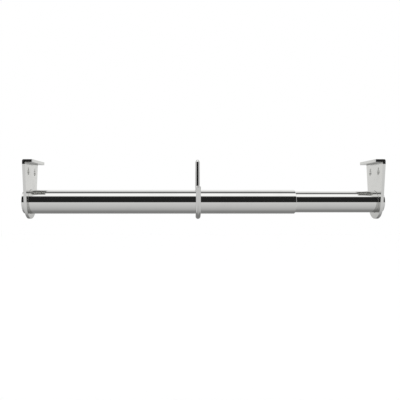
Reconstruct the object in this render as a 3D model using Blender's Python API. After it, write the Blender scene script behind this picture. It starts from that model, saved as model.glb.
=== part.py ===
"""Telescopic closet rod: two chromed tubes, two wall brackets and a support hook.

Metres, +Z up, +X along the rod from the left bracket to the right one.
The origin lies on the left plate's outer face, midway between its two keyholes.
"""

import math

import bmesh
import bpy
from mathutils import Vector

# Tubes
OUTER_DIAMETER = 0.0284
OUTER_WALL = 0.0009
TELESCOPE_GAP = 0.0006
INNER_WALL = 0.0009
OUTER_TUBE_REACH = 0.3151
INNER_TUBE_SHOWN = 0.0952
INNER_TUBE_HIDDEN = 0.2050
LIP_ROUND = 0.0007
LIP_LENGTH = 0.0016
STOP_OVERLAP = 0.0600
STOP_BEAD_LENGTH = 0.0030
TUBE_PAST_PLATE = 0.0006

# Brackets
PLATE_THICKNESS = 0.0034
PLATE_TOP_WIDTH = 0.0490
PLATE_RIM = 0.0038
PLATE_END_DROP = 0.0019
PLATE_SHOULDER = 0.0055
PLATE_EDGE = 0.0002
ROD_DROP = 0.0485
FLANGE_REACH = 0.0120
FLANGE_CORNER = 0.0020
BEND_OUTSIDE = 0.0018
BEND_INSIDE = 0.0005
KEYHOLE_DROP = 0.0141
KEYHOLE_SPACING = 0.0240
KEYHOLE_ROUND = 0.0066
KEYHOLE_SLOT = 0.0034
KEYHOLE_RISE = 0.0038

# End plugs and glide
PLUG_HEAD = 0.0038
PLUG_ROUND = 0.0008
PLUG_SPIGOT = 0.0100
PLUG_WALL = 0.0015
GLIDE_RIM = 0.0060
GLIDE_SPIGOT = 0.0160
GLIDE_WALL = 0.0016

# Support hook
HOOK_PLACE = 0.2009
WIRE_DIAMETER = 0.0060
SHANK_HEIGHT = 0.0513
FRONT_LEG_HEIGHT = 0.0184
FRONT_LEG_LEAN = 5.0
SHANK_NOSE = 0.0046
LEG_NOSE = 0.0020
NOSE_TIP_RADIUS = 0.0008

# Clearances
TURN_CLEARANCE = 0.0003
SLIDE_CLEARANCE = 0.00025
PRESS_CLEARANCE = 0.0002

# Fineness of round shapes, and how far a cutter runs past what it cuts
ROUND_STEPS = 48
ARC_STEPS = 5
SLOT_STEPS = 8
EDGE_STEPS = 2
WIRE_BEND_STEPS = 20
NOSE_STEPS = 4
WIRE_BEVEL_RESOLUTION = 4
SMOOTH_ANGLE = math.radians(35.0)
CUT_PAST = 0.0030
WELD_DISTANCE = 0.000001

# Sizes that follow from those above
OUTER_RADIUS = OUTER_DIAMETER / 2
OUTER_BORE = OUTER_RADIUS - OUTER_WALL
INNER_RADIUS = OUTER_BORE - TELESCOPE_GAP
INNER_BORE = INNER_RADIUS - INNER_WALL
LIP_BORE = INNER_RADIUS + SLIDE_CLEARANCE
RIDING_RADIUS = OUTER_BORE - SLIDE_CLEARANCE
ROD_Z = KEYHOLE_DROP - ROD_DROP
PLATE_END_RADIUS = OUTER_RADIUS + TURN_CLEARANCE + PLATE_RIM
SPAN = OUTER_TUBE_REACH + INNER_TUBE_SHOWN + PLATE_THICKNESS
INNER_TUBE_START = OUTER_TUBE_REACH - INNER_TUBE_HIDDEN

CHROME = ("chrome_plating", (0.85, 0.85, 0.84), 0.08, 1.0)
PLASTIC = ("grey_plastic", (0.10, 0.10, 0.10), 0.55, 0.0)


def clear_scene():
    for old in list(bpy.data.objects):
        bpy.data.objects.remove(old, do_unlink=True)


def material(name, colour, roughness, metallic):
    made = bpy.data.materials.get(name) or bpy.data.materials.new(name)
    made.use_nodes = True
    surface = made.node_tree.nodes["Principled BSDF"]
    surface.inputs["Base Color"].default_value = (*colour, 1.0)
    surface.inputs["Roughness"].default_value = roughness
    surface.inputs["Metallic"].default_value = metallic
    return made


def empty(name, place, parent=None):
    """An empty on a joint's axis; place is in the parent's frame."""
    made = bpy.data.objects.new(name, None)
    made.location = place
    made.parent = parent
    bpy.context.scene.collection.objects.link(made)
    return made


def finish_mesh(name, shape, finish, parent):
    """Turns a bmesh into a named object with outward faces and smooth round sides."""
    bmesh.ops.recalc_face_normals(shape, faces=shape.faces)
    mesh = bpy.data.meshes.new(name)
    shape.to_mesh(mesh)
    shape.free()
    made = bpy.data.objects.new(name, mesh)
    made.parent = parent
    bpy.context.scene.collection.objects.link(made)
    mesh.materials.append(material(*finish))
    mesh.shade_smooth()
    mesh.set_sharp_from_angle(angle=SMOOTH_ANGLE)
    return made


def arc(centre, radius, start, end, steps=ARC_STEPS):
    """Points of a circle's arc from the start angle to the end angle, both in degrees."""
    turns = [math.radians(start + (end - start) * i / steps) for i in range(steps + 1)]
    return [(centre[0] + radius * math.cos(a), centre[1] + radius * math.sin(a)) for a in turns]


def turned(name, profile, finish, parent, closed=True):
    """Spins a profile of (distance along the rod, radius) once around the rod's axis."""
    shape = bmesh.new()
    points = [shape.verts.new((x, 0.0, r)) for x, r in profile]
    edges = [shape.edges.new(pair) for pair in zip(points, points[1:])]
    if closed:
        edges.append(shape.edges.new((points[-1], points[0])))
    bmesh.ops.spin(
        shape,
        geom=points + edges,
        axis=(1.0, 0.0, 0.0),
        angle=2 * math.pi,
        steps=ROUND_STEPS,
        use_merge=True,
    )
    bmesh.ops.remove_doubles(shape, verts=shape.verts, dist=WELD_DISTANCE)
    return finish_mesh(name, shape, finish, parent)


def add_prism(shape, points, way):
    """Adds a closed solid to a bmesh: a flat outline of 3-D points, drawn out along a vector."""
    face = shape.faces.new([shape.verts.new(point) for point in points])
    drawn = bmesh.ops.extrude_face_region(shape, geom=[face], use_keep_orig=True)["geom"]
    moved = [item for item in drawn if isinstance(item, bmesh.types.BMVert)]
    bmesh.ops.translate(shape, verts=moved, vec=way)


def plate_cutter(name, outlines, bracket):
    """A tool through the plate, with its (depth, height) outlines drawn out along the rod."""
    shape = bmesh.new()
    way = Vector((FLANGE_REACH + 2 * CUT_PAST, 0.0, 0.0))
    for outline in outlines:
        add_prism(shape, [(-CUT_PAST, y, z) for y, z in outline], way)
    made = finish_mesh(name, shape, CHROME, bracket)
    made.hide_render = True
    made.display_type = "WIRE"
    return made


def boolean(target, tool, operation):
    step = target.modifiers.new(tool.name, "BOOLEAN")
    step.operation = operation
    step.solver = "EXACT"
    step.object = tool


# Tubes and what is fixed to them, drawn along the rod from the left plate's outer face

def outer_tube(parent):
    mouth = OUTER_TUBE_REACH
    lip = arc((mouth - LIP_ROUND, OUTER_RADIUS - LIP_ROUND), LIP_ROUND, 90, 0)
    bore_end = mouth - LIP_LENGTH - (OUTER_BORE - LIP_BORE)
    profile = [(-TUBE_PAST_PLATE, OUTER_BORE), (-TUBE_PAST_PLATE, OUTER_RADIUS), *lip]
    profile += [(mouth, LIP_BORE), (mouth - LIP_LENGTH, LIP_BORE), (bore_end, OUTER_BORE)]
    return turned("outer_tube", profile, CHROME, parent)


def inner_tube(parent):
    """The bead meets the outer tube's lip when STOP_OVERLAP of the tube is still inside."""
    start = INNER_TUBE_START
    end = SPAN + TUBE_PAST_PLATE
    rise = RIDING_RADIUS - INNER_RADIUS
    bead_end = start + STOP_OVERLAP - LIP_LENGTH
    bead_start = bead_end - STOP_BEAD_LENGTH
    profile = [(start, INNER_BORE), (start, INNER_RADIUS)]
    profile += [(bead_start, INNER_RADIUS), (bead_start + rise, RIDING_RADIUS)]
    profile += [(bead_end - rise, RIDING_RADIUS), (bead_end, INNER_RADIUS)]
    profile += [(end, INNER_RADIUS), (end, INNER_BORE)]
    return turned("inner_tube", profile, CHROME, parent)


def inner_glide(parent):
    """A plug in the inner tube's hidden end, whose rim rides in the outer tube's bore."""
    face = INNER_TUBE_START - PRESS_CLEARANCE
    back = face - GLIDE_RIM
    tip = face + GLIDE_SPIGOT
    spigot = INNER_BORE - PRESS_CLEARANCE
    hole = spigot - GLIDE_WALL
    profile = [(back, hole), (back, RIDING_RADIUS), (face, RIDING_RADIUS)]
    profile += [(face, spigot), (tip, spigot), (tip, hole)]
    return turned("inner_glide", profile, PLASTIC, parent)


def end_plug(name, tube_radius, tube_wall, tube_end, outward, parent):
    """Closes a tube: a head as wide as the tube, with a hollow spigot pressed into its bore."""
    face = tube_end + outward * PRESS_CLEARANCE
    end = face + outward * PLUG_HEAD
    tip = face - outward * PLUG_SPIGOT
    floor = end - outward * PLUG_WALL
    spigot = tube_radius - tube_wall - PRESS_CLEARANCE
    hole = spigot - PLUG_WALL
    rounding = arc((PLUG_HEAD - PLUG_ROUND, tube_radius - PLUG_ROUND), PLUG_ROUND, 90, 0)
    profile = [(floor, 0.0), (floor, hole), (tip, hole), (tip, spigot)]
    profile += [(face, spigot), (face, tube_radius)]
    profile += [(face + outward * along, radius) for along, radius in rounding]
    profile += [(end, 0.0)]
    return turned(name, profile, CHROME, parent, closed=False)


# Brackets, drawn from the rod's axis at the plate's outer face, with X towards the middle

def bent_sheet():
    """The sheet as bent, at its full width: up the plate, round the coined corner, along the flange."""
    top = ROD_DROP
    half = PLATE_TOP_WIDTH / 2
    inside = PLATE_THICKNESS + BEND_INSIDE
    section = [(0.0, -ROD_DROP), *arc((BEND_OUTSIDE, top - BEND_OUTSIDE), BEND_OUTSIDE, 180, 90)]
    section += [(FLANGE_REACH, top), (FLANGE_REACH, top - PLATE_THICKNESS)]
    section += [*arc((inside, top - inside), BEND_INSIDE, 90, 180), (PLATE_THICKNESS, -ROD_DROP)]
    shape = bmesh.new()
    add_prism(shape, [(x, -half, z) for x, z in section], Vector((0.0, PLATE_TOP_WIDTH, 0.0)))
    corners = [edge for edge in shape.edges if is_flange_corner(edge)]
    bmesh.ops.bevel(
        shape, geom=corners, offset=FLANGE_CORNER, segments=ARC_STEPS, profile=0.5, affect="EDGES"
    )
    return shape


def is_flange_corner(edge):
    """True for the two upright edges at the flange's free end."""
    low, high = (vertex.co for vertex in edge.verts)
    at_end = min(low.x, high.x) > FLANGE_REACH - WELD_DISTANCE
    return at_end and abs(high.z - low.z) > WELD_DISTANCE


def plate_outline():
    """The plate seen along the rod: tapered sides that run into a round end, centred below the rod."""
    centre = Vector((0.0, -PLATE_END_DROP))
    shoulder = Vector((PLATE_TOP_WIDTH / 2, ROD_DROP - PLATE_SHOULDER))
    reach = shoulder - centre
    slant = math.degrees(math.atan2(reach.y, reach.x) - math.acos(PLATE_END_RADIUS / reach.length))
    lower_end = arc(centre, PLATE_END_RADIUS, slant, -180.0 - slant, ROUND_STEPS // 2)
    side = (shoulder - Vector(lower_end[0])).normalized()
    past = shoulder + side * CUT_PAST
    above = ROD_DROP + CUT_PAST
    return [(past.x, above), tuple(past), *lower_end, (-past.x, past.y), (-past.x, above)]


def keyhole_outline(depth):
    """A round for the screw's head, with a narrower slot rising from it."""
    height = ROD_DROP - KEYHOLE_DROP
    round_radius = KEYHOLE_ROUND / 2
    slot_radius = KEYHOLE_SLOT / 2
    neck = math.degrees(math.acos(slot_radius / round_radius))
    outline = arc((depth, height), round_radius, neck, -180.0 - neck, ROUND_STEPS // 2)
    return outline + arc((depth, height + KEYHOLE_RISE), slot_radius, 180, 0, SLOT_STEPS)


def bracket(name, tube_radius, parent):
    """Both brackets are one pressing; only the tube's hole differs.

    One tool cuts all three holes, so that no seam left by one of them ends on another's rim.
    """
    made = finish_mesh(name, bent_sheet(), CHROME, parent)
    boolean(made, plate_cutter(name + "_outline", [plate_outline()], made), "INTERSECT")
    tube_hole = arc((0.0, 0.0), tube_radius + TURN_CLEARANCE, 0, 360, ROUND_STEPS)[:-1]
    keyholes = [keyhole_outline(side * KEYHOLE_SPACING / 2) for side in (-1, 1)]
    boolean(made, plate_cutter(name + "_holes", [tube_hole, *keyholes], made), "DIFFERENCE")
    edges = made.modifiers.new("rounded_edges", "BEVEL")
    edges.width = PLATE_EDGE
    edges.segments = EDGE_STEPS
    edges.limit_method = "ANGLE"
    edges.angle_limit = SMOOTH_ANGLE
    edges.loop_slide = False
    return made


# Support hook, drawn from the rod's axis at the hook's place

def hook_route():
    """The wire's centre line as (depth, height): down behind the rod, under it, up in front."""
    radius = OUTER_RADIUS + TURN_CLEARANCE + WIRE_DIAMETER / 2
    under = arc((0.0, 0.0), radius, 0.0, FRONT_LEG_LEAN - 180.0, WIRE_BEND_STEPS)
    foot = Vector(under[-1])
    rise = FRONT_LEG_HEIGHT - foot.y
    tip = foot + Vector((-math.tan(math.radians(FRONT_LEG_LEAN)), 1.0)) * rise
    return [(radius, SHANK_HEIGHT), *under, tuple(tip)]


def wire_nose(tip, neighbour, length):
    """Points of a domed wire end, from its flat tip inwards, each with its share of the wire's radius."""
    inward = (Vector(neighbour) - Vector(tip)).normalized()
    first = math.asin(NOSE_TIP_RADIUS * 2 / WIRE_DIAMETER)
    turns = [first + (math.pi / 2 - first) * i / NOSE_STEPS for i in range(NOSE_STEPS + 1)]
    depths = [length * (1 - math.cos(turn) / math.cos(first)) for turn in turns]
    return [(Vector(tip) + inward * depth, math.sin(turn)) for depth, turn in zip(depths, turns)]


def support_hook(parent):
    route = hook_route()
    points = wire_nose(route[0], route[1], SHANK_NOSE)
    points += [(Vector(place), 1.0) for place in route[1:-1]]
    points += reversed(wire_nose(route[-1], route[-2], LEG_NOSE))
    curve = bpy.data.curves.new("support_hook", "CURVE")
    curve.dimensions = "3D"
    curve.bevel_depth = WIRE_DIAMETER / 2
    curve.bevel_resolution = WIRE_BEVEL_RESOLUTION
    curve.use_fill_caps = True
    wire = curve.splines.new("POLY")
    wire.points.add(len(points) - 1)
    for point, (place, share) in zip(wire.points, points):
        point.co = (0.0, place.x, place.y, 1.0)
        point.radius = share
    curve.materials.append(material(*CHROME))
    made = bpy.data.objects.new("support_hook", curve)
    made.parent = parent
    bpy.context.scene.collection.objects.link(made)
    return made


def main():
    clear_scene()
    left_axis = empty("left_bracket_axis", (0.0, 0.0, ROD_Z))
    outer_axis = empty("outer_rod_axis", (0.0, 0.0, 0.0), left_axis)
    inner_axis = empty("inner_rod_axis", (0.0, 0.0, 0.0), outer_axis)
    right_axis = empty("right_bracket_axis", (SPAN, 0.0, 0.0), inner_axis)
    right_axis.rotation_euler.z = math.pi
    hook_axis = empty("support_hook_axis", (HOOK_PLACE, 0.0, 0.0), outer_axis)

    bracket("left_bracket", OUTER_RADIUS, left_axis)
    outer_tube(outer_axis)
    end_plug("left_end_plug", OUTER_RADIUS, OUTER_WALL, -TUBE_PAST_PLATE, -1, outer_axis)
    inner_tube(inner_axis)
    inner_glide(inner_axis)
    end_plug("right_end_plug", INNER_RADIUS, INNER_WALL, SPAN + TUBE_PAST_PLATE, 1, inner_axis)
    bracket("right_bracket", INNER_RADIUS, right_axis)
    support_hook(hook_axis)


main()
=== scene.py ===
# %% [markdown]
# # A telescopic closet rod in polished chrome
#
# The rod is two steel tubes that slide into each other, with a pressed bracket on each end and a wire
# hook that carries the middle. Everything that shows is chrome plated, so the picture is made of
# reflections: clean curved surfaces and a believable studio matter more than colour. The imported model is
# loaded first. It gives every size and place used below, and it moves the pieces when a joint moves.

# %% Load the frame
import math

import bmesh
import bpy
import numpy as np
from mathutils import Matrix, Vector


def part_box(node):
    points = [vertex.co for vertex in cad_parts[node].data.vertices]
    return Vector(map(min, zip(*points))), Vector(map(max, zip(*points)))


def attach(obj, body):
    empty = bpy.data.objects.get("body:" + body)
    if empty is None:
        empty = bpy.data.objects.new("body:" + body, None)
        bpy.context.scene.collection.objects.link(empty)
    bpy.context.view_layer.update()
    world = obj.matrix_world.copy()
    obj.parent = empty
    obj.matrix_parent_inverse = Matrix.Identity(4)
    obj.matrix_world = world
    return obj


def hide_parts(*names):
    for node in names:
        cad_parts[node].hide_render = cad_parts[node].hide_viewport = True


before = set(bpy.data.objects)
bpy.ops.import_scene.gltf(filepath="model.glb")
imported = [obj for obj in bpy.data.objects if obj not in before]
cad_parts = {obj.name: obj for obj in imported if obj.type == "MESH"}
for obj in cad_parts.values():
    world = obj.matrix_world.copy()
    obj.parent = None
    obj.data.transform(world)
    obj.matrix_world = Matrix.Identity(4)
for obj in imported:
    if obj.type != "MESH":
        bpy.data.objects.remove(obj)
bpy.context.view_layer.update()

print("nodes:", sorted(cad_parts))

# %% [markdown]
# ## Sizes read from the frame
#
# A node's box says how wide a tube is and where it starts and ends, so these values follow the solids.
# All turned pieces share one axis, which is the middle of the outer tube's box.

# %% Read the main sizes
def node_span(node):
    """Lowest and highest corner of a node as two arrays."""
    low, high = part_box(node)
    return np.array(low), np.array(high)


OUTER_LOW, OUTER_HIGH = node_span("outer_tube")
PLATE_LOW, PLATE_HIGH = node_span("left_bracket")
RIGHT_HIGH = node_span("right_bracket")[1]
ROD_Z = (OUTER_LOW[2] + OUTER_HIGH[2]) / 2
OUTER_RADIUS = (OUTER_HIGH[2] - OUTER_LOW[2]) / 2
print("rod axis at z =", round(float(ROD_Z), 5), "outer radius", round(float(OUTER_RADIUS), 5))

# %% [markdown]
# ## The camera
#
# The picture was taken from straight in front, at the height of the rod, from so near that the inner
# faces of both brackets show. Lines that run away from the viewer meet a little left of the picture's
# middle, so the camera stands there and a small sideways shift frames the rod. Its distance follows from
# how wide the plates look; its lens follows from how many pixels a millimetre of rod takes.

# %% Place the camera
PICTURE_PIXELS = 400
SENSOR_MM = 36.0
CAMERA_DISTANCE = 0.574
CAMERA_X = 0.1834
CAMERA_ABOVE_ROD = 0.0020
PIXELS_PER_METRE = 842.0
VANISHING_COLUMN = 183.2
NEAREST_SEEN = 0.01


def photo_camera():
    """A level camera that looks along +Y; lens = sensor times focal pixels over picture pixels."""
    focal_pixels = PIXELS_PER_METRE * CAMERA_DISTANCE
    data = bpy.data.cameras.new("photo_camera")
    data.sensor_width = SENSOR_MM
    data.lens = SENSOR_MM * focal_pixels / PICTURE_PIXELS
    data.shift_x = (PICTURE_PIXELS / 2 - VANISHING_COLUMN) / PICTURE_PIXELS
    data.clip_start = NEAREST_SEEN
    camera = bpy.data.objects.new("photo_camera", data)
    camera.location = (CAMERA_X, -CAMERA_DISTANCE, ROD_Z + CAMERA_ABOVE_ROD)
    camera.rotation_euler = (math.radians(90.0), 0.0, 0.0)
    bpy.context.scene.collection.objects.link(camera)
    bpy.context.scene.camera = camera
    return camera


camera = photo_camera()
print("lens", round(camera.data.lens, 2), "mm, shift", round(camera.data.shift_x, 4))

# %% [markdown]
# ## The studio that the chrome mirrors
#
# A polished tube shows the whole room squeezed into a few stripes. Read from the top edge down, the
# stripes say: a white backdrop, a grey gap, a white light overhead, a dark room behind the camera, then a
# pale floor that falls off into shade below and behind. The same room could be built from cards and
# lamps, but those would get in the way of other views. A sky that depends only on direction gives the
# same reflections from everywhere. One angle runs round the rod from the floor behind, under the rod,
# up the front and over the top; a colour ramp turns that angle into brightness.

# %% Studio stripes as a function of direction
# Degrees round the rod (0 is the front horizon, 90 overhead, 180 the back horizon, -90 below), brightness
STUDIO_STRIPES = (
    (-180, 0.95), (-177.5, 0.62), (-172, 0.50), (-163, 0.26), (-140, 0.22), (-111, 0.215), (-97, 0.27),
    (-84, 0.375), (-70, 0.435), (-52, 0.50), (-12, 0.60), (-6.8, 0.62), (-5.3, 0.016), (38, 0.016),
    (50, 0.03), (57.5, 1.00), (85.5, 1.00), (89.5, 0.14), (106, 0.14), (116, 0.70), (142, 0.90),
    (180, 0.95),
)
STRIPE_BLUE = 0.99
SIDE_LIGHT = 0.62
SIDE_STARTS = 0.68
SIDE_FULL = 0.80
ROOM_LIGHT = 0.80
BACKDROP = 1.0

# Numbers of a mix node's colour sockets, which share their names with its other sockets
MIX_FIRST, MIX_SECOND, MIX_RESULT = 6, 7, 2


def add_node(tree, kind, **settings):
    """A new node with its properties set."""
    node = tree.nodes.new(kind)
    for name, value in settings.items():
        setattr(node, name, value)
    return node


def mix_colours(tree, factor, first, second):
    """A colour mix node; each colour is a socket to link or a colour (red, green, blue) to set."""
    node = add_node(tree, "ShaderNodeMix", data_type="RGBA")
    tree.links.new(factor, node.inputs["Factor"])
    for place, colour in ((MIX_FIRST, first), (MIX_SECOND, second)):
        if isinstance(colour, tuple):
            node.inputs[place].default_value = (*colour, 1.0)
        else:
            tree.links.new(colour, node.inputs[place])
    return node.outputs[MIX_RESULT]


def grey(value):
    """A colour with three equal parts."""
    return value, value, value


def stripes_ramp(tree):
    """A colour ramp whose position is (angle + 180) / 360."""
    ramp = add_node(tree, "ShaderNodeValToRGB")
    stops = ramp.color_ramp.elements
    while len(stops) < len(STUDIO_STRIPES):
        stops.new(0.5)  # any place will do, because all are set below
    for stop, (angle, light) in zip(stops, STUDIO_STRIPES):
        stop.position = (angle + 180.0) / 360.0
        stop.color = (light, light, light * STRIPE_BLUE, 1.0)
    return ramp


print("studio stripes:", len(STUDIO_STRIPES))


# %% The studio as a world
def studio_world():
    """Directions to brightness: the stripes by the angle atan2(z, -y), with pale sides for large |x|."""
    world = bpy.data.worlds.new("chrome_studio")
    world.use_nodes = True
    tree = world.node_tree
    tree.nodes.clear()
    direction = add_node(tree, "ShaderNodeSeparateXYZ")
    tree.links.new(add_node(tree, "ShaderNodeTexCoord").outputs["Generated"], direction.inputs[0])
    front = add_node(tree, "ShaderNodeMath", operation="MULTIPLY")
    front.inputs[1].default_value = -1.0
    tree.links.new(direction.outputs["Y"], front.inputs[0])
    angle = add_node(tree, "ShaderNodeMath", operation="ARCTAN2")
    tree.links.new(direction.outputs["Z"], angle.inputs[0])
    tree.links.new(front.outputs[0], angle.inputs[1])
    place = add_node(tree, "ShaderNodeMapRange")
    place.inputs["From Min"].default_value = -math.pi
    place.inputs["From Max"].default_value = math.pi
    tree.links.new(angle.outputs[0], place.inputs["Value"])
    ramp = stripes_ramp(tree)
    tree.links.new(place.outputs["Result"], ramp.inputs["Fac"])
    sideways = add_node(tree, "ShaderNodeMath", operation="ABSOLUTE")
    tree.links.new(direction.outputs["X"], sideways.inputs[0])
    side = add_node(tree, "ShaderNodeMapRange", interpolation_type="SMOOTHSTEP")
    side.inputs["From Min"].default_value = SIDE_STARTS
    side.inputs["From Max"].default_value = SIDE_FULL
    tree.links.new(sideways.outputs[0], side.inputs["Value"])
    mirrored = mix_colours(tree, side.outputs["Result"], ramp.outputs["Color"], grey(SIDE_LIGHT))
    light_path = add_node(tree, "ShaderNodeLightPath")
    mirror_ray = add_node(tree, "ShaderNodeMath", operation="MAXIMUM")
    tree.links.new(light_path.outputs["Is Glossy Ray"], mirror_ray.inputs[0])
    tree.links.new(light_path.outputs["Is Transmission Ray"], mirror_ray.inputs[1])
    seen_by_metal = mix_colours(tree, mirror_ray.outputs[0], grey(ROOM_LIGHT), mirrored)
    seen = mix_colours(tree, light_path.outputs["Is Camera Ray"], seen_by_metal, grey(BACKDROP))
    background = add_node(tree, "ShaderNodeBackground")
    tree.links.new(seen, background.inputs["Color"])
    output = add_node(tree, "ShaderNodeOutputWorld")
    tree.links.new(background.outputs[0], output.inputs["Surface"])
    bpy.context.scene.world = world
    return world


bpy.context.scene.view_settings.view_transform = "Standard"
print("world:", studio_world().name)

# %% [markdown]
# ## Floor and lamp
#
# The rod hangs between two walls, so the floor lies well below it and only a soft shadow reaches it. The
# lamp is a broad sun from straight above, because an even light leaves no bright pool on the floor. The
# floor is a pale sheet that adds a little light of its own for the camera, which brings it up to the
# white of the backdrop while the shadow stays. The metal already sees a floor in the studio's stripes, so
# this sheet is kept out of its reflections.

# %% Floor and soft lamp
FLOOR_BELOW_ROD = 0.32
FLOOR_HALF = 4.0
FLOOR_COLOUR = (0.80, 0.80, 0.80, 1.0)
FLOOR_ROUGHNESS = 0.9
FLOOR_LIFT = 0.15
LAMP_SPREAD = math.radians(50.0)
LAMP_POWER = 0.9


def floor_material():
    """Pale matte paint, lifted to white for the camera only."""
    made = bpy.data.materials.new("studio_floor")
    made.use_nodes = True
    tree = made.node_tree
    surface = tree.nodes["Principled BSDF"]
    surface.inputs["Base Color"].default_value = FLOOR_COLOUR
    surface.inputs["Roughness"].default_value = FLOOR_ROUGHNESS
    light_path = add_node(tree, "ShaderNodeLightPath")
    lift = add_node(tree, "ShaderNodeMath", operation="MULTIPLY")
    lift.inputs[1].default_value = FLOOR_LIFT
    tree.links.new(light_path.outputs["Is Camera Ray"], lift.inputs[0])
    surface.inputs["Emission Color"].default_value = (1.0, 1.0, 1.0, 1.0)
    tree.links.new(lift.outputs[0], surface.inputs["Emission Strength"])
    return made


def studio_floor():
    """A flat square under the rod."""
    z = ROD_Z - FLOOR_BELOW_ROD
    x = CAMERA_X
    corners = [(x + a * FLOOR_HALF, b * FLOOR_HALF, z) for a, b in ((-1, -1), (1, -1), (1, 1), (-1, 1))]
    mesh = bpy.data.meshes.new("studio_floor")
    mesh.from_pydata(corners, [], [(0, 1, 2, 3)])
    mesh.materials.append(floor_material())
    floor = bpy.data.objects.new("studio_floor", mesh)
    floor.visible_glossy = False
    bpy.context.scene.collection.objects.link(floor)
    return floor


def soft_lamp():
    """Broad even light from above, kept out of the reflections that the stripes already hold."""
    data = bpy.data.lights.new("overhead_lamp", "SUN")
    data.angle = LAMP_SPREAD
    data.energy = LAMP_POWER
    lamp = bpy.data.objects.new("overhead_lamp", data)
    lamp.visible_glossy = False
    bpy.context.scene.collection.objects.link(lamp)
    return lamp


studio_floor()
soft_lamp()
print("floor at z =", round(float(ROD_Z - FLOOR_BELOW_ROD), 3))

# %% [markdown]
# ## Chrome
#
# Chrome plating is a thin bright metal over polished steel. It is never perfectly even: drawing the tube
# leaves faint lines along it, and handling leaves soft smears. Both change the sharpness of the
# reflection a little, so one node group makes them for every chromed piece: long streaks from a stretched
# noise, smears from a broad one, and a trace of height for the normal. Each finish uses the group with
# its own stretch and strength, and keeps its shader in the material.
#
# The tubes and the wire are bright. The plates' faces are a satin: rougher than the tubes, and with a
# darker colour that is painted shade. It is a shaded copy of the same chrome, which makes the faces and
# their reflections in the rod darker. Their tumbled edges are bright again. The walls of the punched
# holes, which hardly any plating reaches, stay rough.

# %% Plating marks as a node group
STREAK_DETAIL = 4.0
SMEAR_SCALE = 38.0
SMEAR_DETAIL = 3.0
SMEAR_STARTS = 0.48
SMEAR_FULL = 0.72


def group_sockets(tree, inputs, outputs):
    """Adds named sockets to a node group: (name, kind, default) in, (name, kind) out."""
    for name, kind, default in inputs:
        socket = tree.interface.new_socket(name, in_out="INPUT", socket_type=kind)
        socket.default_value = default
    for name, kind in outputs:
        tree.interface.new_socket(name, in_out="OUTPUT", socket_type=kind)
    return add_node(tree, "NodeGroupInput"), add_node(tree, "NodeGroupOutput")


def plating_marks():
    """Streaks and smears: noise on stretched object coordinates, broad noise on plain ones."""
    tree = bpy.data.node_groups.new("plating_marks", "ShaderNodeTree")
    inputs = (("Coordinates", "NodeSocketVector", (0.0, 0.0, 0.0)),
              ("Stretch", "NodeSocketVector", (1.0, 1.0, 1.0)),
              ("Sharp", "NodeSocketFloat", 0.03), ("Dull", "NodeSocketFloat", 0.08))
    outputs = [(name, "NodeSocketFloat") for name in ("Roughness", "Smear", "Height")]
    entry, leaving = group_sockets(tree, inputs, outputs)
    stretched = add_node(tree, "ShaderNodeVectorMath", operation="MULTIPLY")
    tree.links.new(entry.outputs["Coordinates"], stretched.inputs[0])
    tree.links.new(entry.outputs["Stretch"], stretched.inputs[1])
    streaks = add_node(tree, "ShaderNodeTexNoise")
    streaks.inputs["Scale"].default_value = 1.0
    streaks.inputs["Detail"].default_value = STREAK_DETAIL
    tree.links.new(stretched.outputs[0], streaks.inputs["Vector"])
    smears = add_node(tree, "ShaderNodeTexNoise")
    smears.inputs["Scale"].default_value = SMEAR_SCALE
    smears.inputs["Detail"].default_value = SMEAR_DETAIL
    tree.links.new(entry.outputs["Coordinates"], smears.inputs["Vector"])
    smear = add_node(tree, "ShaderNodeMapRange", interpolation_type="SMOOTHSTEP")
    smear.inputs["From Min"].default_value = SMEAR_STARTS
    smear.inputs["From Max"].default_value = SMEAR_FULL
    tree.links.new(smears.outputs["Fac"], smear.inputs["Value"])
    dulling = add_node(tree, "ShaderNodeMath", operation="MULTIPLY")
    tree.links.new(streaks.outputs["Fac"], dulling.inputs[0])
    tree.links.new(smear.outputs["Result"], dulling.inputs[1])
    roughness = add_node(tree, "ShaderNodeMapRange")
    tree.links.new(dulling.outputs[0], roughness.inputs["Value"])
    tree.links.new(entry.outputs["Sharp"], roughness.inputs["To Min"])
    tree.links.new(entry.outputs["Dull"], roughness.inputs["To Max"])
    tree.links.new(roughness.outputs["Result"], leaving.inputs["Roughness"])
    tree.links.new(smear.outputs["Result"], leaving.inputs["Smear"])
    tree.links.new(streaks.outputs["Fac"], leaving.inputs["Height"])
    return tree


PLATING_MARKS = plating_marks()
print("sockets of the marks:", [item.name for item in PLATING_MARKS.interface.items_tree])

# %% Chrome finishes
BUMP_DISTANCE = 0.00002


def chrome_finish(name, bright, smeared, stretch, sharp, dull, bump):
    """Metal whose colour goes from bright to smeared, with roughness and height from the marks."""
    made = bpy.data.materials.new(name)
    made.use_nodes = True
    tree = made.node_tree
    surface = tree.nodes["Principled BSDF"]
    surface.inputs["Metallic"].default_value = 1.0
    marks = add_node(tree, "ShaderNodeGroup", node_tree=PLATING_MARKS)
    marks.inputs["Stretch"].default_value = stretch
    marks.inputs["Sharp"].default_value = sharp
    marks.inputs["Dull"].default_value = dull
    tree.links.new(add_node(tree, "ShaderNodeTexCoord").outputs["Object"], marks.inputs["Coordinates"])
    colour = mix_colours(tree, marks.outputs["Smear"], bright, smeared)
    tree.links.new(colour, surface.inputs["Base Color"])
    tree.links.new(marks.outputs["Roughness"], surface.inputs["Roughness"])
    relief = add_node(tree, "ShaderNodeBump")
    relief.inputs["Strength"].default_value = bump
    relief.inputs["Distance"].default_value = BUMP_DISTANCE
    tree.links.new(marks.outputs["Height"], relief.inputs["Height"])
    tree.links.new(relief.outputs["Normal"], surface.inputs["Normal"])
    return made


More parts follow.
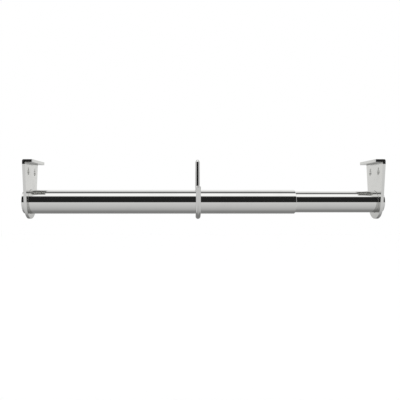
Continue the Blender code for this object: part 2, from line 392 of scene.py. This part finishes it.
TUBE_CHROME = chrome_finish("tube_chrome", bright=(0.93, 0.93, 0.92), smeared=(0.90, 0.90, 0.89),
                            stretch=(14.0, 900.0, 900.0), sharp=0.025, dull=0.09, bump=0.05)
# The plates' faces: satin roughness is real; the darker base colour is painted shade.
PLATE_SHADED_SATIN = chrome_finish("plate_shaded_satin", bright=(0.61, 0.61, 0.595), smeared=(0.57, 0.57, 0.555),
                            stretch=(700.0, 700.0, 40.0), sharp=0.12, dull=0.22, bump=0.08)
EDGE_CHROME = chrome_finish("edge_chrome", bright=(0.92, 0.92, 0.91), smeared=(0.88, 0.88, 0.87),
                            stretch=(600.0, 600.0, 600.0), sharp=0.05, dull=0.14, bump=0.05)
WIRE_CHROME = chrome_finish("wire_chrome", bright=(0.84, 0.84, 0.83), smeared=(0.80, 0.80, 0.79),
                            stretch=(900.0, 120.0, 120.0), sharp=0.03, dull=0.10, bump=0.05)
PUNCHED_WALL = chrome_finish("punched_wall", bright=(0.95, 0.95, 0.93), smeared=(0.90, 0.90, 0.88),
                             stretch=(900.0, 60.0, 60.0), sharp=0.42, dull=0.60, bump=0.20)
print("finishes:", [m.name for m in (TUBE_CHROME, PLATE_SHADED_SATIN, EDGE_CHROME, WIRE_CHROME, PUNCHED_WALL)])

# %% [markdown]
# ## Surfaces from grids
#
# Most pieces here are a grid of points: one direction runs along a profile or a path, the other goes
# round. Whole arrays make the points at once. The helpers below turn such a grid into a closed mesh, weld
# its seams and poles, turn the faces outwards and hand the piece to the frame.

# %% Grid to mesh
WELD = 1e-7


def grid_quads(rows, columns, wrap_rows, wrap_columns, first=0):
    """Corner numbers of every quad between neighbouring rows and columns, wrapped where asked."""
    row = np.arange(rows if wrap_rows else rows - 1)
    column = np.arange(columns if wrap_columns else columns - 1)
    row, column = (part.ravel() for part in np.meshgrid(row, column, indexing="ij"))
    next_row = (row + 1) % rows
    next_column = (column + 1) % columns
    corners = (row * columns + column, row * columns + next_column,
               next_row * columns + next_column, next_row * columns + column)
    return np.stack(corners, axis=1) + first


def smooth_outward(mesh):
    """Welds doubles, turns all faces outwards and shades them smooth."""
    shape = bmesh.new()
    shape.from_mesh(mesh)
    bmesh.ops.remove_doubles(shape, verts=shape.verts, dist=WELD)
    bmesh.ops.recalc_face_normals(shape, faces=shape.faces)
    shape.to_mesh(mesh)
    shape.free()
    mesh.shade_smooth()


def grid_mesh(name, points, wrap_rows):
    """A mesh from points[row, column, xyz]; the columns always close on themselves."""
    rows, columns = points.shape[:2]
    quads = grid_quads(rows, columns, wrap_rows, True)
    mesh = bpy.data.meshes.new(name)
    mesh.from_pydata(points.reshape(-1, 3).tolist(), [], quads.tolist())
    smooth_outward(mesh)
    return mesh


def dress(mesh, node, body, *finishes):
    """Makes a mesh a finished piece that stands for a node and moves with its body."""
    piece = bpy.data.objects.new(mesh.name, mesh)
    bpy.context.scene.collection.objects.link(piece)
    for finish in finishes:
        mesh.materials.append(finish)
    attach(piece, body)
    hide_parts(node)
    print(f"{piece.name}: {len(mesh.polygons)} faces, for {node} on {body}")
    return piece


print("points closer than", WELD, "m are welded")

# %% [markdown]
# ## Rounded profiles
#
# No edge on a plated part is sharp: plating builds up and polishing breaks every corner. A small round
# catches a thin bright line, which is what separates a real edge from a drawn one. Each corner of a
# profile is replaced by an arc that touches both sides. A guard point on each side next to the arc keeps
# the smooth shading of the long straight stretch exact, or the reflections would bend towards the corner.

# %% Corners to arcs
ROUND_STEPS = 8
GUARD = 0.00012


def rounded_corners(before, corner, after, radius):
    """For each corner: centre = corner + bisector * r / sin(half angle), then an arc between the two
    touching points, by spherical interpolation of the two radii, with a guard point at each end."""
    back = before - corner
    ahead = after - corner
    back = back / np.linalg.norm(back, axis=1, keepdims=True)
    ahead = ahead / np.linalg.norm(ahead, axis=1, keepdims=True)
    half = np.arccos(np.clip((back * ahead).sum(1), -1.0, 1.0))[:, None] / 2
    bisector = back + ahead
    bisector = bisector / np.linalg.norm(bisector, axis=1, keepdims=True)
    radius = radius[:, None]
    centre = corner + bisector * radius / np.sin(half)
    touch = radius / np.tan(half)
    start = (corner + back * touch - centre) / radius
    end = (corner + ahead * touch - centre) / radius
    sweep = (math.pi - 2 * half)[:, None]
    step = np.linspace(0.0, 1.0, ROUND_STEPS + 1)[None, :, None]
    weight_start = np.sin((1 - step) * sweep) / np.sin(sweep)
    weight_end = np.sin(step * sweep) / np.sin(sweep)
    around = weight_start * start[:, None] + weight_end * end[:, None]
    curve = centre[:, None] + radius[:, None] * around
    guard_in = (corner + back * (touch + GUARD))[:, None]
    guard_out = (corner + ahead * (touch + GUARD))[:, None]
    return np.concatenate([guard_in, curve, guard_out], axis=1).reshape(-1, 2)


def closed_profile(corners, radii):
    """A closed outline with every corner rounded."""
    corner = np.array(corners, float)
    return rounded_corners(np.roll(corner, 1, 0), corner, np.roll(corner, -1, 0), np.array(radii, float))


def open_profile(corners, radii):
    """An outline that starts and ends on the axis, with the corners between rounded."""
    corner = np.array(corners, float)
    inside = rounded_corners(corner[:-2], corner[1:-1], corner[2:], np.array(radii, float))
    return np.concatenate([corner[:1], inside, corner[-1:]])


print("points in one rounded corner:", ROUND_STEPS + 3)

# %% [markdown]
# ## Turned pieces
#
# Tubes and end plugs are turned: a profile of distance and radius goes once round the rod's axis.
# In Blender this could be a Screw modifier, but with arrays the profile's formula and the mesh stay side
# by side, and the number of columns is free. The bright curve of the reflection needs many columns.

# %% Turning a profile
TURN_COLUMNS = 160


def turned(name, profile, wrap_rows=True):
    """Point at row i, column j: (x_i, r_i sin a_j, axis height + r_i cos a_j)."""
    turn = np.linspace(0.0, 2 * math.pi, TURN_COLUMNS, endpoint=False)
    along, radius = (part[:, None] for part in profile.T)
    depth, height = radius * np.sin(turn), ROD_Z + radius * np.cos(turn)
    return grid_mesh(name, np.stack(np.broadcast_arrays(along, depth, height), axis=-1), wrap_rows)


TUBE_WALL = 0.0009
TELESCOPE_GAP = 0.0006
SLIDE_CLEARANCE = 0.00025
PRESS_CLEARANCE = 0.0002
LIP_LENGTH = 0.0016
LIP_ROUND = 0.00068
FINE_ROUND = 0.00012
OUTER_BORE = OUTER_RADIUS - TUBE_WALL
INNER_RADIUS = OUTER_BORE - TELESCOPE_GAP
INNER_BORE = INNER_RADIUS - TUBE_WALL
LIP_BORE = INNER_RADIUS + SLIDE_CLEARANCE
print("inner radius", round(float(INNER_RADIUS), 5), "lip bore", round(float(LIP_BORE), 5))

# %% [markdown]
# ## The two tubes
#
# The outer tube's mouth is rolled in to a round lip, which guides the inner tube and shows as a bright
# hairline where the rod steps down. The inner tube is plain outside; its rolled stop bead and its plug
# stay hidden inside.

# %% Outer and inner tube
def outer_tube_profile():
    """Closed outline of (x, radius): end, outside, rolled mouth, lip, then a 1 : 1 slope to the bore."""
    start, mouth = OUTER_LOW[0], OUTER_HIGH[0]
    lip_start = mouth - LIP_LENGTH
    corners = [(start, OUTER_BORE), (start, OUTER_RADIUS), (mouth, OUTER_RADIUS), (mouth, LIP_BORE),
               (lip_start, LIP_BORE), (lip_start - (OUTER_BORE - LIP_BORE), OUTER_BORE)]
    radii = [FINE_ROUND, FINE_ROUND, LIP_ROUND, FINE_ROUND, FINE_ROUND, FINE_ROUND]
    return closed_profile(corners, radii)


STOP_OVERLAP = 0.0600
BEAD_LENGTH = 0.0030


def inner_tube_profile():
    """Closed outline of (x, radius); the bead ends at start + overlap - lip, with slopes of 1 : 1."""
    low, high = node_span("inner_tube")
    riding = OUTER_BORE - SLIDE_CLEARANCE
    rise = riding - INNER_RADIUS
    bead_end = low[0] + STOP_OVERLAP - LIP_LENGTH
    bead_start = bead_end - BEAD_LENGTH
    corners = [(low[0], INNER_BORE), (low[0], INNER_RADIUS), (bead_start, INNER_RADIUS),
               (bead_start + rise, riding), (bead_end - rise, riding), (bead_end, INNER_RADIUS),
               (high[0], INNER_RADIUS), (high[0], INNER_BORE)]
    return closed_profile(corners, [FINE_ROUND] * len(corners))


dress(turned("chromed_outer_tube", outer_tube_profile()), "outer_tube", "outer_rod", TUBE_CHROME)
dress(turned("chromed_inner_tube", inner_tube_profile()), "inner_tube", "inner_rod", TUBE_CHROME)

# %% [markdown]
# ## End plugs
#
# Each tube runs through the hole of its bracket and stands out past it, closed by a plug of the tube's
# own width. Only the rounded rim and a sliver of side show past the plate, with the same stripes as the
# rod.

# %% Plugs
PLUG_ROUND = 0.0008
PLUG_SPIGOT = 0.0100
PLUG_WALL = 0.0015


def plug_profile(node, bore, outward):
    """From the axis inside the cup, over the spigot and the head, back to the axis at the outer face."""
    low, high = node_span(node)
    end, tip = (high[0], low[0]) if outward > 0 else (low[0], high[0])
    radius = (high[2] - low[2]) / 2
    face = tip + outward * PLUG_SPIGOT
    floor = end - outward * PLUG_WALL
    spigot = bore - PRESS_CLEARANCE
    hole = spigot - PLUG_WALL
    corners = [(floor, 0.0), (floor, hole), (tip, hole), (tip, spigot), (face, spigot), (face, radius),
               (end, radius), (end, 0.0)]
    radii = [FINE_ROUND] * 5 + [PLUG_ROUND]
    return open_profile(corners, radii)


PLUGS = (("left", "outer_rod", OUTER_BORE, -1), ("right", "inner_rod", INNER_BORE, 1))
for side, body, bore, outward in PLUGS:
    profile = plug_profile(f"{side}_end_plug", bore, outward)
    plug = turned(f"chromed_{side}_plug", profile, wrap_rows=False)
    dress(plug, f"{side}_end_plug", body, TUBE_CHROME)

# %% [markdown]
# ## The support hook
#
# The hook is one length of bright wire: a straight shank behind the rod, half a turn under it, and a
# short leg in front that leans out a little so the rod can be lifted in. The shank tapers to a blunt
# nose, which catches the light from above, and the leg ends in a low dome. A curve with a round bevel
# would do, but its ends would be flat. Here a circle is carried along the centre line as a grid, and the
# rows at both ends follow the profile of their nose.

# %% Noses of the wire
SHANK_TAPER = 0.0029
SHANK_TIP = 0.0013
SHANK_TIP_ROUND = 0.0013
SHANK_BASE_ROUND = 0.0020
SHANK_RUN = 0.0014
LEG_DOME = 0.0014
DOME_STEPS = 16


def shank_nose_rows(wire):
    """Rows of (distance from the tip, radius): a flat end, a cone and plain wire, with rounds between."""
    corners = [(0.0, 0.0), (0.0, SHANK_TIP), (SHANK_TAPER, wire), (SHANK_TAPER + SHANK_RUN, wire)]
    return open_profile(corners, [SHANK_TIP_ROUND, SHANK_BASE_ROUND])


def leg_nose_rows(wire):
    """Rows of (distance from the tip, radius): length (1 - cos t) and wire sin t, then a guard row."""
    turn = np.linspace(0.0, math.pi / 2, DOME_STEPS + 1)
    dome = np.stack([LEG_DOME * (1 - np.cos(turn)), wire * np.sin(turn)], axis=1)
    return np.concatenate([dome, [(LEG_DOME + GUARD, wire)]])


print("shank nose", SHANK_TAPER, "m long, leg nose", LEG_DOME, "m")

# %% Wire carried along a path
WIRE_COLUMNS = 48
BEND_ROWS = 72
LEAN = math.radians(5.0)
LEG_HEIGHT = 0.0184
HOOK_CLEARANCE = 0.00028


def hook_rows(shank_tip, leg_tip, bend_radius, wire):
    """Rows of (depth, height), their directions and radii: down the shank, round the bend, up the leg."""
    turn = np.linspace(0.0, math.pi - LEAN, BEND_ROWS)
    bend = bend_radius * np.stack([np.cos(turn), -np.sin(turn)], axis=1)
    bend_way = np.stack([-np.sin(turn), -np.cos(turn)], axis=1)
    way_down, way_up = bend_way[0], bend_way[-1]
    leg_end = bend[-1] + way_up * (leg_tip - bend[-1, 1]) / way_up[1]
    shank_nose = shank_nose_rows(wire)
    leg_nose = leg_nose_rows(wire)[::-1]
    shank = (bend_radius, shank_tip) + way_down * shank_nose[:, :1]
    leg = leg_end - way_up * leg_nose[:, :1]
    before, after = bend[:1] - way_down * GUARD, bend[-1:] + way_up * GUARD
    path = np.concatenate([shank, before, bend, after, leg])
    shank_ways = np.tile(way_down, (len(shank) + 1, 1))
    leg_ways = np.tile(way_up, (len(leg) + 1, 1))
    ways = np.concatenate([shank_ways, bend_way, leg_ways])
    radii = np.concatenate([shank_nose[:, 1:], np.full((BEND_ROWS + 2, 1), wire), leg_nose[:, 1:]])
    return path, ways, radii


def hook_mesh(name):
    """Point at row i, column j: path_i + r_i (cos a_j across + sin a_j sideways)."""
    low, high = node_span("support_hook")
    wire = (high[0] - low[0]) / 2
    bend_radius = OUTER_RADIUS + HOOK_CLEARANCE + wire
    path, ways, radii = hook_rows(high[2] - ROD_Z, LEG_HEIGHT, bend_radius, wire)
    turn = np.linspace(0.0, 2 * math.pi, WIRE_COLUMNS, endpoint=False)
    across = radii * np.cos(turn)
    x = low[0] + wire + radii * np.sin(turn)
    y = path[:, :1] - ways[:, 1:] * across
    z = ROD_Z + path[:, 1:] + ways[:, :1] * across
    return grid_mesh(name, np.stack([x, y, z], axis=-1), wrap_rows=False)


dress(hook_mesh("chromed_support_hook"), "support_hook", "support_hook", WIRE_CHROME)

# %% [markdown]
# ## The brackets
#
# A bracket is pressed from sheet: a flat blank is punched with its holes, tumbled until its edges are
# round, then bent once. The same order works here. First come the outlines of the blank and its holes.
# An edge profile is carried along each outline, the two flat sides are filled, rows are cut across the
# bend, and one formula bends everything above the bend line. The bend is coined: its outer round is
# smaller than the sheet is thick, so the outer skin runs straight on for a little before it turns.

# %% Outlines of the blank
SHEET = 0.0034
BEND_OUTSIDE = 0.0018
BEND_INSIDE = 0.0005
END_DROP = 0.0019
SHOULDER_DROP = 0.0055
SHOULDER_ROUND = 0.0010
FLANGE_CORNER = 0.0020
TURN_CLEARANCE = 0.0003
KEYHOLE_SPACING = 0.0240
KEYHOLE_ROUND = 0.0066
KEYHOLE_SLOT = 0.0034
KEYHOLE_RISE = 0.0038
END_STEPS = 96
KEYHOLE_STEPS = 48
SLOT_STEPS = 20
TUBE_HOLE_STEPS = 120
TOP_HALF = (PLATE_HIGH[1] - PLATE_LOW[1]) / 2
ROD_DROP = PLATE_HIGH[2] - ROD_Z
FLANGE_REACH = PLATE_HIGH[0] - PLATE_LOW[0]
END_RADIUS = ROD_Z - PLATE_LOW[2] - END_DROP
CORNER = SHEET + BEND_INSIDE
CORNER_RUN = CORNER - BEND_OUTSIDE
BEND_START = ROD_DROP - CORNER
BEND_LENGTH = 2 * CORNER_RUN + BEND_OUTSIDE * math.pi / 2
BLANK_TOP = BEND_START + BEND_LENGTH + FLANGE_REACH - CORNER


def arc(centre, radius, start, end, steps):
    """Points of an arc between two angles in radians."""
    turn = np.linspace(start, end, steps + 1)
    return np.array(centre) + radius * np.stack([np.cos(turn), np.sin(turn)], axis=1)


def blank_outline():
    """Counterclockwise: a round end, then four round corners. The end's radius is square to the tapered
    sides at slant = angle of the shoulder - acos(end radius / distance of the shoulder)."""
    centre = np.array([0.0, -END_DROP])
    shoulder = np.array([TOP_HALF, ROD_DROP - SHOULDER_DROP])
    reach = shoulder - centre
    slant = math.atan2(reach[1], reach[0]) - math.acos(END_RADIUS / np.hypot(*reach))
    lower = arc(centre, END_RADIUS, -math.pi - slant, slant, END_STEPS)
    top = np.array([TOP_HALF, BLANK_TOP])
    mirror = np.array([-1.0, 1.0])
    corners = np.stack([lower[-1], shoulder, top, top * mirror, shoulder * mirror, lower[0]])
    radii = np.array([SHOULDER_ROUND, FLANGE_CORNER, FLANGE_CORNER, SHOULDER_ROUND])
    return np.concatenate([lower, rounded_corners(corners[:-2], corners[1:-1], corners[2:], radii)])


def keyhole_outline(depth):
    """Clockwise, because it is a hole: round below, slot above, joined at acos(slot / round width)."""
    height = -ROD_Z
    neck = math.acos(KEYHOLE_SLOT / KEYHOLE_ROUND)
    lower = arc((depth, height), KEYHOLE_ROUND / 2, neck, -math.pi - neck, KEYHOLE_STEPS)
    upper = arc((depth, height + KEYHOLE_RISE), KEYHOLE_SLOT / 2, math.pi, 0.0, SLOT_STEPS)
    return np.concatenate([lower, upper])


def blank_outlines(tube_radius):
    """The blank, the tube's hole with radius = tube radius + clearance, and the two keyholes."""
    hole = arc((0.0, 0.0), tube_radius + TURN_CLEARANCE, 0.0, -2 * math.pi, TUBE_HOLE_STEPS)[:-1]
    keyholes = [keyhole_outline(side * KEYHOLE_SPACING / 2) for side in (-1, 1)]
    return [blank_outline(), hole, *keyholes]


print("blank ends at", round(float(BLANK_TOP), 4), "and bends at", round(float(BEND_START), 4))

# %% Edge strips and filled sides
EDGE_ROUND = 0.00015
EDGE_STEPS = 5
SHEET_FACE, OUTER_EDGE, HOLE_WALL = 0, 1, 2


def edge_profile():
    """Rows of (inset, depth through the sheet) over one rounded edge and, mirrored, over the other:
    inset = r (1 - sin t), depth = r (1 - cos t)."""
    turn = np.linspace(0.0, math.pi / 2, EDGE_STEPS + 1)
    inset = EDGE_ROUND * (1 - np.sin(turn))
    depth = EDGE_ROUND * (1 - np.cos(turn))
    first = np.stack([inset, depth], axis=1)
    guards = np.array([[EDGE_ROUND + GUARD, 0.0]])
    middle = np.array([[0.0, EDGE_ROUND + GUARD], [0.0, SHEET - EDGE_ROUND - GUARD]])
    mirrored = first[::-1] * (1, -1) + (0.0, SHEET)
    return np.concatenate([guards, first, middle, mirrored, guards + (0.0, SHEET)])


def outward_normals(outline):
    """Right-hand normals of the two neighbouring edges, added and stretched to keep the inset even."""
    edge = np.roll(outline, -1, 0) - outline
    edge = edge / np.linalg.norm(edge, axis=1, keepdims=True)
    normal = np.stack([edge[:, 1], -edge[:, 0]], axis=1)
    both = normal + np.roll(normal, 1, 0)
    return 2 * both / (both * both).sum(1, keepdims=True)


def edge_strip(outline):
    """Points[profile row, outline point]: outline minus inset times normal, and the depth as x."""
    rows = edge_profile()
    flat = outline[None] - rows[:, None, :1] * outward_normals(outline)[None]
    depth = np.broadcast_to(rows[:, None, 1:], (*flat.shape[:2], 1))
    return np.concatenate([depth, flat], axis=-1)


def flat_blank(name, outlines):
    """All edge strips in one mesh, with both flat sides filled between them."""
    strips = [edge_strip(outline) for outline in outlines]
    firsts = np.cumsum([0] + [strip.shape[0] * strip.shape[1] for strip in strips])
    quads = [grid_quads(*strip.shape[:2], False, True, first) for strip, first in zip(strips, firsts)]
    mesh = bpy.data.meshes.new(name)
    points = np.concatenate([strip.reshape(-1, 3) for strip in strips])
    mesh.from_pydata(points.tolist(), [], np.concatenate(quads).tolist())
    slots = [OUTER_EDGE] + [HOLE_WALL] * (len(outlines) - 1)
    finish = np.repeat(slots, [len(part) for part in quads])
    mesh.polygons.foreach_set("material_index", finish.astype(np.int32))
    shape = bmesh.new()
    shape.from_mesh(mesh)
    rim = [edge for edge in shape.edges if edge.is_boundary]
    for front in (True, False):
        side = [edge for edge in rim if (edge.verts[0].co.x < SHEET / 2) == front]
        bmesh.ops.triangle_fill(shape, use_beauty=True, edges=side)
    return mesh, shape


print("rows in an edge strip:", len(edge_profile()))

# %% The bend
BEND_STEPS = 12


def cut_rows(shape):
    """Cuts the blank across at every step of the outer round, and on both sides of it and of the bend."""
    round_end = BEND_LENGTH - CORNER_RUN
    steps = np.linspace(CORNER_RUN, round_end, BEND_STEPS + 1)
    sides = (-GUARD, 0.0, CORNER_RUN - GUARD, round_end + GUARD, BEND_LENGTH, BEND_LENGTH + GUARD)
    for past in sorted((*sides, *steps)):
        everything = shape.verts[:] + shape.edges[:] + shape.faces[:]
        bmesh.ops.bisect_plane(shape, geom=everything, dist=WELD, plane_co=(0.0, 0.0, BEND_START + past),
                               plane_no=(0.0, 0.0, 1.0))


def bend(points):
    """Height past the bend line is length along the outer skin: up, round by length / outer radius, then
    along. The inner skin turns evenly through the same right angle. Depth mixes the two skins."""
    depth, width, height = points.T
    past = np.maximum(height - BEND_START, 0.0)
    base = np.minimum(height, BEND_START)
    turn = np.clip((past - CORNER_RUN) / BEND_OUTSIDE, 0.0, math.pi / 2)
    after = np.maximum(past - CORNER_RUN - BEND_OUTSIDE * math.pi / 2, 0.0)
    outer_x = BEND_OUTSIDE * (1 - np.cos(turn)) + after
    outer_z = base + np.minimum(past, CORNER_RUN) + BEND_OUTSIDE * np.sin(turn)
    turn = np.minimum(past / BEND_LENGTH, 1.0) * math.pi / 2
    inner_x = SHEET + BEND_INSIDE * (1 - np.cos(turn)) + np.maximum(past - BEND_LENGTH, 0.0)
    inner_z = base + BEND_INSIDE * np.sin(turn)
    share = depth / SHEET
    x = outer_x + (inner_x - outer_x) * share
    z = outer_z + (inner_z - outer_z) * share
    return np.stack([x, width, z], axis=1)


print("outer skin in the bend:", round(float(BEND_LENGTH), 5), "m")

# %% Finishes of the sheet, and both brackets
FLAT_COSINE = 0.999
END_COSINE = 0.9


def mark_edges(mesh):
    """Cut sides keep their strip's finish. The sheet's two faces (normal along x) and the flange's free
    end (normal up, before the bend) take the first one."""
    normals = np.empty(len(mesh.polygons) * 3)
    mesh.polygons.foreach_get("normal", normals)
    finish = np.empty(len(mesh.polygons), np.int32)
    mesh.polygons.foreach_get("material_index", finish)
    through, _, upward = np.abs(normals.reshape(-1, 3)).T
    cut_side = (through < FLAT_COSINE) & ((upward < END_COSINE) | (finish == HOLE_WALL))
    mesh.polygons.foreach_set("material_index", np.where(cut_side, finish, SHEET_FACE).astype(np.int32))


def bracket_mesh(name, tube_radius, plate_x, inward):
    """Bends the blank, then sets it on the rod's axis; the right one is turned half round."""
    mesh, shape = flat_blank(name, blank_outlines(tube_radius))
    cut_rows(shape)
    shape.to_mesh(mesh)
    shape.free()
    mark_edges(mesh)
    flat = np.empty(len(mesh.vertices) * 3)
    mesh.vertices.foreach_get("co", flat)
    bent = bend(flat.reshape(-1, 3)) * (inward, inward, 1.0) + (plate_x, 0.0, ROD_Z)
    mesh.vertices.foreach_set("co", bent.ravel())
    smooth_outward(mesh)
    return mesh


# The plates' faces take the darker chrome, whose colour is painted shade.
dress(bracket_mesh("chromed_left_bracket", OUTER_RADIUS, PLATE_LOW[0], 1.0),
      "left_bracket", "left_bracket", PLATE_SHADED_SATIN, EDGE_CHROME, PUNCHED_WALL)
dress(bracket_mesh("chromed_right_bracket", INNER_RADIUS, RIGHT_HIGH[0], -1.0),
      "right_bracket", "right_bracket", PLATE_SHADED_SATIN, EDGE_CHROME, PUNCHED_WALL)

# %% [markdown]
# ## The hidden glide
#
# The plug in the hidden end of the inner tube is dark moulded plastic. It keeps its solid mesh and gets a
# fine moulded grain: a small noise that changes colour, roughness and height together.

# %% Moulded plastic
GRAIN_SCALE = 1800.0
GRAIN_DETAIL = 3.0
GRAIN_SHARP = 0.42
GRAIN_DULL = 0.65
GRAIN_BUMP = 0.25


def moulded_plastic(name, dark, light):
    """Plastic whose grain is one fine noise on object coordinates."""
    made = bpy.data.materials.new(name)
    made.use_nodes = True
    tree = made.node_tree
    surface = tree.nodes["Principled BSDF"]
    grain = add_node(tree, "ShaderNodeTexNoise")
    grain.inputs["Scale"].default_value = GRAIN_SCALE
    grain.inputs["Detail"].default_value = GRAIN_DETAIL
    tree.links.new(add_node(tree, "ShaderNodeTexCoord").outputs["Object"], grain.inputs["Vector"])
    colour = mix_colours(tree, grain.outputs["Fac"], dark, light)
    tree.links.new(colour, surface.inputs["Base Color"])
    roughness = add_node(tree, "ShaderNodeMapRange")
    roughness.inputs["To Min"].default_value = GRAIN_SHARP
    roughness.inputs["To Max"].default_value = GRAIN_DULL
    tree.links.new(grain.outputs["Fac"], roughness.inputs["Value"])
    tree.links.new(roughness.outputs["Result"], surface.inputs["Roughness"])
    relief = add_node(tree, "ShaderNodeBump")
    relief.inputs["Strength"].default_value = GRAIN_BUMP
    relief.inputs["Distance"].default_value = BUMP_DISTANCE
    tree.links.new(grain.outputs["Fac"], relief.inputs["Height"])
    tree.links.new(relief.outputs["Normal"], surface.inputs["Normal"])
    return made


GLIDE_PLASTIC = moulded_plastic("glide_plastic", dark=(0.085, 0.085, 0.088), light=(0.13, 0.13, 0.135))
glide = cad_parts["inner_glide"]
glide.data.materials.clear()
glide.data.materials.append(GLIDE_PLASTIC)
print("glide finish:", glide.data.materials[0].name)
